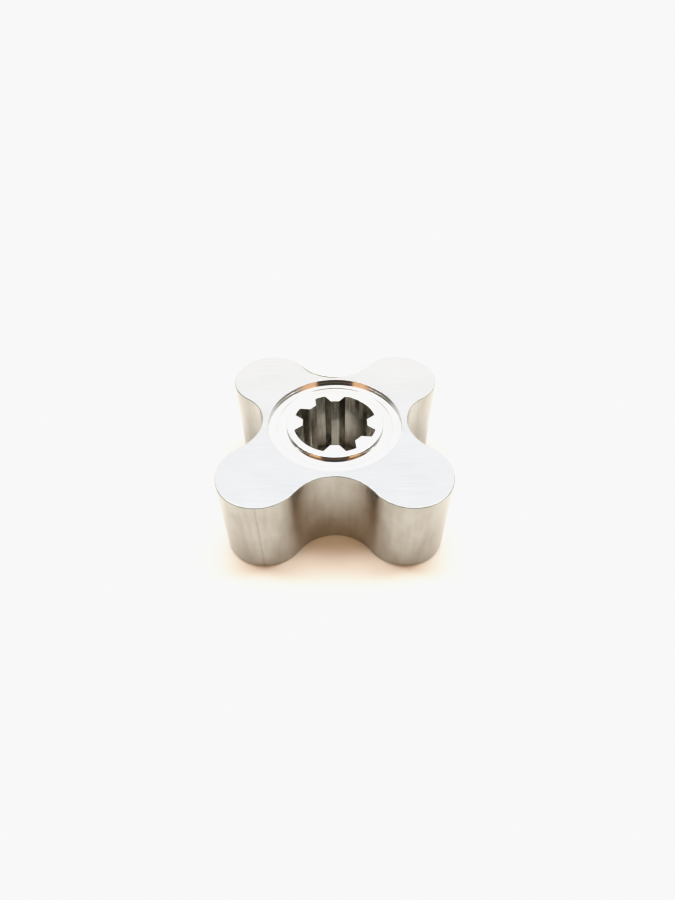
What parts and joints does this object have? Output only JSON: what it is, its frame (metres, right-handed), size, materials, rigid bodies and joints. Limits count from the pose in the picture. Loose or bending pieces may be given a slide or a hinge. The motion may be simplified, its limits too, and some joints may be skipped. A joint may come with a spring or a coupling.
{
  "type": "four-lobed splined rotor",
  "caption": "Four-lobed steel rotor with a recessed front face, a splined sleeve and a lock ring at the rear, for a rotary pump shaft.",
  "frame": {"origin": "centre of the rear face, on the bore's axis", "axes": "+Z along the bore from the rear face to the recessed front face; the lobes lie at 45 degrees between X and Y, and the valleys on the X and Y axes"},
  "size_m": [0.0952, 0.0952, 0.04],
  "materials": {
    "body_steel": "fine-turned and ground stainless steel, faint machining lines",
    "sleeve_steel": "turned face, broached bore a little darker and rougher",
    "key_steel": "ground and hardened",
    "ring_steel": "turned, with milled spanner slots",
    "screw_steel": "black oxide, satin",
    "seal_rubber": "moulded, matt"
  },
  "bodies": {
    "root": {"lobed_body": "body_steel", "splined_sleeve": "sleeve_steel", "front_seal_ring": "seal_rubber", "rear_seal_ring": "seal_rubber", "lock_ring": "ring_steel", "round_key_1": "key_steel", "round_key_2": "key_steel", "round_key_3": "key_steel", "round_key_4": "key_steel", "lock_screw_1": "screw_steel", "lock_screw_2": "screw_steel"}
  },
  "joints": []
}
